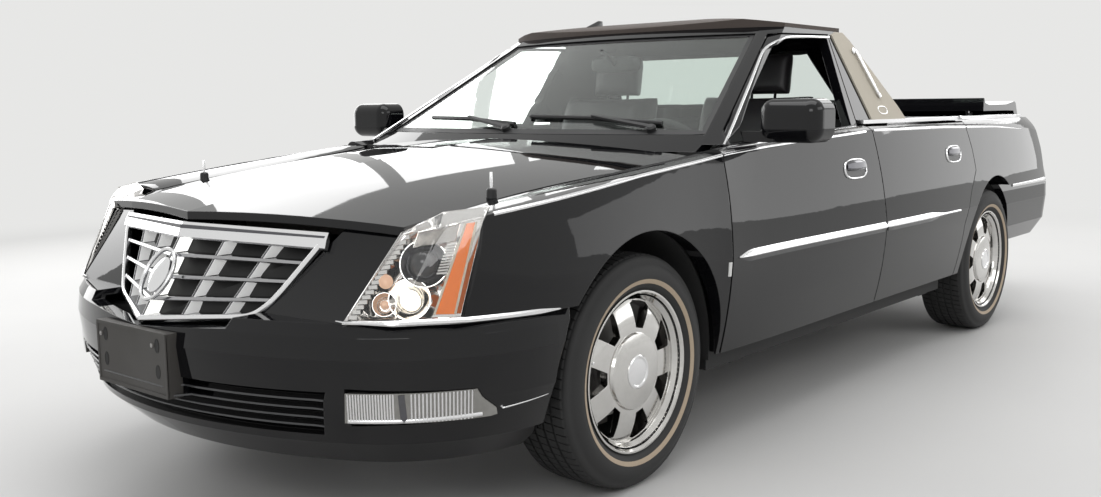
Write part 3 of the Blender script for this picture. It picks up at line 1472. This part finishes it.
    def fog_lamps(self) -> None:
        """The fog lamps: their bodies, the ribs behind them, the post between and the chrome edge."""
        packed("fog_lamps").piece("fog_lamp_bodies", FOG, replaces=["fog_lamps"])
        section = [(-0.0028, -0.004), (0.0028, -0.004), (0.0020, 0.0018), (0.0, 0.0036), (-0.0020, 0.0018)]
        x, y = self.fog_centre
        for name, first, last in (("inner", 30.6, 42.3), ("outer", 46.9, 62.6)):
            step, angle = math.radians(last - first) / (self.ribs - 1), math.radians(first)
            out = Vector((math.cos(angle), math.sin(angle), 0))
            ends = ((0.5442, 0.3495), (0.5500, 0.4225))
            rib = Form().sweep([(out * reach + UP * z, out) for reach, z in ends], section)
            for side, sign, form in zip(SIDES, (1, -1), (rib, rib.mirrored())):
                self.repeat.piece(form, f"fog_lamp_ribs_{name}_{side}", self.ribs, CHROME, slot=LENS.slot,
                                  turn=(0, 0, sign * step), place=(x, sign * y, 0.0))
        skin = Skin("fog_lamps")
        edge = laid(skin.front, [(0.643, 0.353), (0.760, 0.354), (0.8615, 0.357)], 0.02)
        Form().sweep(edge, strip(0.010, 0.004)).pair("fog_lamp_chrome", CHROME)
        post = [skin.front(0.751, z) for z in (0.352, 0.370, 0.400, 0.420)]
        Form().sweep(post, strip(0.016, 0.004)).pair("fog_lamp_post", DARK_CHROME)

    def lower_lines(self) -> None:
        """The thin line from the fog lamp back to the wheel, and the slats of the intake."""
        skin, section = Skin("front_bumper"), strip(0.005, 0.002)
        path = laid(skin.side, [(2.150, 0.3585), (2.080, 0.364), (1.990, 0.371)], 0.02)
        Form().sweep(path, section, thinning(0.6, 0.6)).pair("bumper_side_line", CHROME)
        for row, z in enumerate((0.330, 0.354, 0.378, 0.402)):
            reach = 0.562 + 0.034 * (z - 0.306) / 0.118
            line = laid(skin.front, [(-reach, z), (reach, z)], 0.03)
            Form().sweep(line, section).piece(f"intake_line_{row}", PROJECTOR, slot=CHROME.slot)


@dataclass
class Cabin:
    """The seats, the fascia's details, the mirrors, the wipers and the glass's edges."""

    seat_x: float = 0.330
    seat_y: float = 0.380
    reach: float = 3.0
    mirror: Point = (0.8225, 1.012, 1.057)
    mirror_half: Flat = (0.091, 0.052)

    def build(self) -> None:
        """Makes all of it."""
        for part in (self.seats, self.console, self.mirrors, self.wipers, self.glass_edges):
            part()

    def seats(self) -> None:
        """Cushions, backs and head rests as crowned pads, on a plain base."""
        x, y = self.seat_x, self.seat_y
        replaces = ["seats"]
        for name, centre, along, size, bolster, channels in (
            ("seat_cushion", (x + 0.015, y, 0.536), (1, 0, 0.07), (0.475, 0.510, 0.125), 0.35, (-0.45, 0.0, 0.45)),
            ("seat_back", (x - 0.257, y, 0.850), (-0.28, 0, 1), (0.600, 0.500, 0.130), 0.40, (-0.55, -0.15, 0.25)),
            ("head_rest", (x - 0.388, y, 1.235), (-0.16, 0, 1), (0.165, 0.240, 0.095), 0.0, ()),
        ):
            form = Form().cushion(Vector(centre), Vector(along), -ASIDE, size, bolster, channels)
            for side, half in zip(SIDES, (form, form.mirrored())):
                pad = half.piece(f"{name}_{side}", LEATHER, sharp=60, replaces=replaces)
                replaces = []
        base = Form().block((x - 0.180, y - 0.220, 0.275), (x + 0.200, y + 0.220, 0.475))
        base.block((x - 0.250, y - 0.235, 0.300), (x - 0.150, y + 0.235, 0.560))
        post = [(0, 0), (0.006, 0), (0.006, 0.10), (0, 0.10)]
        for across in (-0.055, 0.055):
            base.turn(Vector((x - 0.372, y + across, 1.095)), Vector((-0.16, 0, 1)), post, 12)
        base.pair("seat_base", CABIN, bevel=0.012)

    def console(self) -> None:
        """The dial cowl, the middle stack and the tunnel's console with its lever and arm rest."""
        rows = []
        for share in (0.0, 0.3, 0.7, 1.0):
            half, rise = 0.215 - 0.01 * share, 0.060 + 0.012 * share
            rows.append([Vector((0.900 - 0.135 * share, 0.385 + math.cos(a) * half,
                                 0.955 + math.sin(a) * rise - 0.010 * share)) for a, in between((0,), (math.pi,), 16)])
        under = [[Vector((point.x, point.y, 0.940)) for point in row] for row in (rows[0], rows[-1])]
        cowl = Form().grid(rows).grid([under[0], rows[0]]).grid([rows[-1], under[1]]).grid(under)
        cowl.piece("dial_cowl", CABIN)
        side = ((0.800, 0.300), (0.700, 0.470), (0.772, 0.930), (0.860, 0.940), (0.900, 0.300))
        stack = Form().plate([Vector((x, -0.140, z)) for x, z in side], ASIDE * 0.280)
        stack.block((0.020, -0.095, 0.276), (0.740, 0.095, 0.470)).block((0.020, -0.090, 0.470), (0.330, 0.090, 0.555))
        lever = [(0, 0), (0.040, 0), (0.010, 0.020), (0.008, 0.090), (0.024, 0.100), (0.026, 0.130), (0, 0.140)]
        stack.turn(Vector((0.560, 0.0, 0.468)), Vector((-0.2, 0, 1)), lever, 20)
        stack.piece("centre_console", CABIN, bevel=0.008)
        dial = [(0, 0), (0.036, 0), (0.038, 0.006), (0.034, 0.006), (0.033, 0.002), (0, 0.002)]
        vent = [(0, -0.004), (0.030, -0.004), (0.032, 0.004), (0.026, 0.004), (0.024, 0.0), (0, 0.0)]
        round_parts = Form()
        for y in (0.300, 0.385, 0.470):
            round_parts.turn(Vector((0.764, y, 0.975)), Vector((-1, 0, 0.3)), dial, 24)
        for y in (-0.085, 0.085):
            round_parts.turn(Vector((0.757, y, 0.850)), Vector((-1, 0, 0.15)), vent, 20)
        round_parts.piece("dials_and_vents", DARK_CHROME)

    def mirrors(self) -> None:
        """The door mirrors' glass and the inner mirror under the roof."""
        outline = [Vector(self.mirror) + Vector((0, y, z)) for y, z in oval(40, *self.mirror_half, (0.5, 0.5))]
        Form().plate(outline, AHEAD * -0.004).pair("door_mirror_glass", CHROME, "front_door_{side}")
        glass, _ = Skin("windscreen", reach=self.reach).front(0.0, 1.325)
        body = glass + Vector((-0.105, 0, -0.052))
        rows = [[body + Vector((depth, y, z)) for y, z in oval(36, 0.122 * share, 0.033 * share, (0.5, 0.6))]
                for share, depth in ((0.86, 0.014), (1.0, 0.006), (1.0, -0.004), (0.94, -0.008))]
        stem = [(body + AHEAD * 0.008, ASIDE), (glass + Vector((-0.045, 0, -0.016)), ASIDE),
                (glass - AHEAD * 0.006, ASIDE)]
        Form().loft(rows).sweep(stem, oval(10, 0.009, 0.009)).piece("inner_mirror", BLACK_PLASTIC)

    def wipers(self) -> None:
        """Two arms with their blades at rest low on the windscreen."""
        skin = Skin("windscreen", reach=self.reach)

        def lifted(points: Sequence[Flat], lift: float) -> list[Spot]:
            """Places a little off the glass, along a broken line."""
            return [(place + normal * lift, normal) for place, normal in laid(skin.front, points, 0.05)]

        arm = [(-0.009, -0.004), (0.009, -0.004), (0.006, 0.004), (-0.006, 0.004)]
        blade = [(-0.0055, -0.0085), (0.0055, -0.0085), (0.0075, 0.001), (0.003, 0.006), (-0.003, 0.006),
                 (-0.0075, 0.001)]
        hub = [(0, -0.004), (0.018, -0.004), (0.018, 0.014), (0.012, 0.020), (0, 0.021)]
        form = Form()
        for start, elbow, end in (((0.560, 1.026), (0.300, 1.062), (0.020, 1.068)),
                                  ((-0.040, 1.026), (-0.300, 1.060), (-0.560, 1.064))):
            form.sweep(lifted([start, elbow], 0.016), arm, lambda share: (1.3 - 0.6 * share, 1.0))
            form.sweep(lifted([(elbow[0] + 0.28, elbow[1] - 0.018), elbow, end], 0.0075), blade)
            form.turn(*skin.front(*start), hub, 20)
        form.piece("wipers", BLACK_PLASTIC)

    def glass_edges(self) -> None:
        """The dark bands round the windscreen and the rear window."""
        for node, half, (wide, low), (narrow, high) in (("windscreen", 0.016, (0.748, 1.020), (0.592, 1.368)),
                                                        ("rear_window", 0.012, (0.592, 1.103), (0.514, 1.328))):
            skin = Skin(node, reach=self.reach)
            view = skin.front if node == "windscreen" else skin.rear
            corners = [(wide, low), (narrow, high), (-narrow, high), (-wide, low), (wide, low)]
            section = [(-half, -0.001), (half, -0.001), (half, 0.0012), (-half, 0.0012)]
            Form().sweep(laid(view, corners, 0.04)[:-1], section, ring=True).piece(f"{node}_band", BLACK_PLASTIC)


@dataclass
class BedAndTail:
    """The bed's skid strips, the deck's trim, the tail lamps' parts and the rear bumper's line."""

    repeat: Repeat
    skids: int = 9
    skid_pitch: float = 0.1775
    bed_front: float = -0.462
    bed_rear: float = -1.758
    lamp_heights: Flat = (0.700, 0.990)
    lamp_low: tuple[Flat, ...] = ((-2.596, 0.712), (-2.560, 0.768), (-2.500, 0.806))
    lamp_high: tuple[Flat, ...] = ((-2.330, 0.712), (-2.318, 0.742), (-2.300, 0.762))
    quarter_end: tuple[Flat, ...] = ((0.690, -2.330), (0.862, -2.292), (0.980, -2.230), (1.080, -2.120))
    corner_heights: Flat = (0.6975, 1.000)
    pipe_end: Point = (-2.480, 0.560, 0.310)
    pipe_radius: float = 0.026

    def build(self) -> None:
        """Makes all of it."""
        for part in (self.bed, self.tail_parts, self.tail_corners, self.exhaust_tip, self.bumper_line, self.deck):
            part()

    def bed(self) -> None:
        """Bright skid strips with rounded ends along the bed's floor."""
        half = self.skid_pitch * (self.skids - 1) / 2
        skin = Skin("flower_bed")
        height = max(skin.top(x, -half + 0.002)[0].z for x in (-0.6, -1.1, -1.6))
        path = [(Vector((x, 0, 0)), UP) for x, in run_through([(self.bed_front,), (self.bed_rear,)], 0.16)]
        form = Form().sweep(path, strip(0.027, 0.006, 0.002),
                            lambda share: (min(1.0, share * 20 + 0.2, (1 - share) * 20 + 0.2),) * 2)
        self.repeat.piece(form, "bed_skid_strips", self.skids, CHROME, step=(0, self.skid_pitch, 0),
                          place=(0, -half, height), sharp=34)

    def lamp_point(self, corner: int, up: float) -> Vector:
        """A place on an upright edge of the left tail lamp, from its foot at 0 to its top at 1."""
        low, high = self.lamp_low[corner], self.lamp_high[corner]
        return Vector((*low, self.lamp_heights[0])).lerp(Vector((*high, self.lamp_heights[1])), up)

    def tail_parts(self) -> None:
        """The tail lamps' chrome edges, inner bars and clear strips."""
        out = Vector((-0.75, 0.66, 0.0)).normalized()
        edges, bars, clear = Form(), Form(), Form()
        for corner, end in ((2, 0.90), (0, 0.97)):
            path = [(self.lamp_point(corner, up), out) for up, in between((0.02,), (end,), 12)]
            edges.sweep(path, strip(0.008, 0.004, 0.004), thinning(0.4, 0.0))
        edges.pair("tail_lamp_line", CHROME)
        for up in (0.13, 0.27, 0.41, 0.55, 0.69):
            bars.sweep([(self.lamp_point(corner, up), out) for corner in (0, 1, 2)], strip(0.005, 0.0024, 0.004))
        bars.pair("tail_lamp_bars", RED_DARK)
        for corner in (0, 1):
            one, two = (self.lamp_point(end, 0.205) for end in (corner, corner + 1))
            clear.sweep([(one.lerp(two, share), out) for share in (0.12, 0.5, 0.88)], strip(0.020, 0.0016, 0.004))
        clear.pair("tail_lamp_clear", CREAM)

    def tail_corners(self) -> None:
        """The painted fillets from the quarters' slanting ends round to the lamps."""
        skin, (foot, top) = Skin("quarter_panel_left"), self.lamp_heights
        rows = []
        for z, in between(self.corner_heights[:1], self.corner_heights[1:], 14):
            start = skin.side(level(self.quarter_end, z) + 0.004, z)[0] - ASIDE * 0.0015
            end = self.lamp_point(2, max(0.0, (z - foot) / (top - foot))) + Vector((0.004, -0.003, 0))
            way = end - start
            bulge = Vector((way.y, -way.x, 0)).normalized()
            outer = [start + way * share + bulge * (0.10 * way.length * math.sin(math.pi * share))
                     for share, in between((0,), (1,), 8)]
            rows.append(outer + [point - bulge * 0.003 for point in reversed(outer)])
        Form().loft(rows).pair("tail_corner", PAINT, sharp=50)

    def exhaust_tip(self) -> None:
        """A bright ring round the tail pipe's end with a dark mouth."""
        end, radius = Vector(self.pipe_end), self.pipe_radius
        ring = [(radius, -0.070), (radius + 0.004, -0.066), (radius + 0.004, 0.014), (radius + 0.002, 0.017),
                (radius - 0.001, 0.014), (radius - 0.001, 0.001)]
        Form().turn(end, -AHEAD, ring, 32, ring=True).piece("exhaust_tip", CHROME)
        mouth = [(0, 0.0008), (radius - 0.0012, 0.0008), (radius - 0.0012, 0.0026), (0, 0.0026)]
        Form().turn(end, -AHEAD, mouth, 32).piece("exhaust_mouth", SCREEN)

    def bumper_line(self) -> None:
        """The chrome strip along the top of the rear bumper."""
        skin = Skin("rear_bumper")
        path = []
        for degrees, in between((-78,), (78,), 56):
            angle = math.radians(degrees)
            toward = Vector((math.cos(angle), -math.sin(angle), 0))
            path.append(skin.hit(Vector((-1.75, math.sin(angle) * 0.72, 0.686)) - toward * 1.6, toward))
        section = [(-0.011, -0.003), (0.011, -0.003), (0.011, 0.003), (0.004, 0.006), (-0.005, 0.006), (-0.011, 0.003)]
        Form().sweep(path, section).piece("rear_bumper_line", CHROME)

    def deck(self) -> None:
        """The lid's bright bar and edge, the blank plate panel's rim and its two small lamps."""
        skin = Skin("boot_lid")
        section = [(-0.017, -0.004), (0.017, -0.004), (0.017, 0.006), (0.005, 0.013), (-0.008, 0.012), (-0.017, 0.004)]
        bar = laid(skin.rear, [(-0.360, 0.905), (0.360, 0.905)], 0.03)
        Form().sweep(bar, section).piece("lid_bar", CHROME, "boot_lid")
        corners = [(-0.265, 0.735), (0.265, 0.735), (0.265, 0.872), (-0.265, 0.872), (-0.265, 0.735)]
        rim = Form().sweep(laid(skin.rear, corners, 0.05)[:-1], strip(0.010, 0.006), ring=True)
        rim.piece("lid_plate_rim", BLACK_PLASTIC, "boot_lid")
        lamps = Form()
        for y in (-0.14, 0.14):
            place, out = skin.rear(y, 0.862)
            lamps.sweep([(place + ASIDE * across, out) for across in (-0.03, 0.03)], strip(0.014, 0.008))
        lamps.piece("lid_plate_lamps", CREAM, "boot_lid")
        edge = laid(skin.rear, [(-0.680, 1.060), (0.680, 1.060)], 0.04)
        Form().sweep(edge, strip(0.007, 0.003)).piece("lid_edge_line", CHROME, "boot_lid")


@dataclass
class Studio:
    """The floor, the surround, the lamps and the camera."""

    camera_place: Point = (4.1015, 2.688, 1.108)
    yaw: float = 40.04
    pitch: float = 7.37
    roll: float = -0.52
    focal_pixels: float = 1095.0
    frame_width: float = 1101.0
    sensor: float = 36.0
    lamp_share: float = 0.70
    floor_half: float = 60.0
    floor_fade: Flat = (3.2, 8.5)

    def build(self) -> None:
        """Makes all of it."""
        bpy.context.scene.view_settings.view_transform = "Standard"
        for part in (self.camera, self.floor, self.world, self.lamps):
            part()

    def camera(self) -> None:
        """The photograph's camera."""
        yaw, pitch, roll = (math.radians(angle) for angle in (self.yaw, self.pitch, self.roll))
        ahead = Vector((-math.cos(yaw) * math.cos(pitch), -math.sin(yaw) * math.cos(pitch), -math.sin(pitch)))
        flat = ahead.cross(UP).normalized()
        upright = flat.cross(ahead)
        right = flat * math.cos(roll) + upright * math.sin(roll)
        up = upright * math.cos(roll) - flat * math.sin(roll)
        data = bpy.data.cameras.new("photo_camera")
        data.sensor_width = self.sensor
        data.lens = self.focal_pixels / self.frame_width * self.sensor
        made = scene_object("photo_camera", data)
        made.matrix_world = Matrix.Translation(self.camera_place) @ Matrix((right, up, -ahead)).transposed().to_4x4()
        bpy.context.scene.camera = made

    @staticmethod
    def seen(graph: Graph) -> Term:
        """Above 0 where the camera sees a place, straight, through glass or as a reflection.

        Args:
            graph: The graph that needs it.

        Returns:
            The value.
        """
        light = graph.node("ShaderNodeLightPath", {})
        straight, through, mirrored = (Term(graph, light.outputs[f"Is {kind} Ray"])
                                       for kind in ("Camera", "Transmission", "Glossy"))
        return straight + through + mirrored

    def floor(self) -> None:
        """A pale floor that fades into the backdrop."""
        mesh = bpy.data.meshes.new("studio_floor")
        half = self.floor_half
        mesh.from_pydata([(-half, -half, 0), (half, -half, 0), (half, half, 0), (-half, half, 0)], [], [(0, 1, 2, 3)])
        made = scene_object("studio_floor", mesh)
        graph = Graph(bpy.data.materials.new("studio_floor"))
        shade = graph.mix(graph.noise(0.8, 4.0), (0.60, 0.595, 0.585), (0.66, 0.655, 0.64))
        near = graph.value("ShaderNodeBsdfPrincipled", {"Base Color": shade, "Roughness": 0.6})
        far = graph.value("ShaderNodeEmission", {"Color": (*BACKDROP, 1.0), "Strength": 1.0})
        away = graph.value("ShaderNodeVectorMath", {0: graph.place}, "Value", operation="LENGTH")
        seen = self.seen(graph)
        share = graph.ramp(away, *self.floor_fade) * seen.clamped()
        graph.show(graph.value("ShaderNodeMixShader", {0: share, 1: near, 2: far}))
        mesh.materials.append(graph.owner)

    def world(self) -> None:
        """A pale surround that is dimmer low down, where the real one is dark."""
        world = bpy.data.worlds.new("studio_surround")
        bpy.context.scene.world = world
        graph = Graph(world, "ShaderNodeOutputWorld", "Generated")
        span = {"From Min": -0.05, "From Max": 0.75, "To Min": 0.24, "To Max": 0.62}
        rise = graph.value("ShaderNodeMapRange", {"Value": graph.height(), **span})
        light = graph.value("ShaderNodeBackground", {"Color": (0.97, 0.98, 1.0, 1.0), "Strength": rise})
        backdrop = graph.value("ShaderNodeBackground", {"Color": (*BACKDROP, 1.0)})
        graph.show(graph.value("ShaderNodeMixShader", {0: self.seen(graph), 1: light, 2: backdrop}))

    def lamps(self) -> None:
        """Soft boxes round the car, in rows with narrow gaps."""
        boxes = [((2.5 - 2.4 * step, -6.5, 2.6), (2.5 - 2.4 * step, 0, 1.2), (2.1, 3.6), 85.0) for step in range(5)]
        boxes += [((-7.5, -4.5 + 2.6 * step, 3.6), (0, -2.0 + 1.6 * step, 1.0), (2.2, 3.0), 70.0) for step in range(4)]
        boxes += [((1.0, 0.5, 6.0), (0.3, 0.2, 0), (6.0, 3.6), 230.0),
                  ((7.5, 3.8, 3.8), (1.5, 0.2, 0.6), (3.4, 2.6), 120.0),
                  ((-1.0, 7.5, 4.6), (-0.6, 0.0, 0.5), (6.0, 2.2), 110.0),
                  ((-7.6, 5.4, 1.75), (-0.5, 0.8, 0.9), (8.6, 2.3), 100.0)]
        for index, (place, target, (width, height), power) in enumerate(boxes):
            data = bpy.data.lights.new(f"soft_box_{index}", "AREA")
            data.shape, data.size, data.size_y, data.energy = "RECTANGLE", width, height, power * self.lamp_share
            made = scene_object(data.name, data)
            made.location = place
            made.rotation_euler = (Vector(target) - Vector(place)).to_track_quat("-Z", "Y").to_euler()


def main() -> None:
    """Builds the dressed car and its studio."""
    dress_nodes()
    repeat = Repeat()
    for part in (Tyres(repeat), BodyTrim(), HeadLamps(), Nose(repeat), Cabin()):
        part.build()
    eased("roof", "roof_cover", ROOF_VINYL, 0.016)
    BedAndTail(repeat).build()
    Studio().build()


if __name__ == "__main__":
    main()
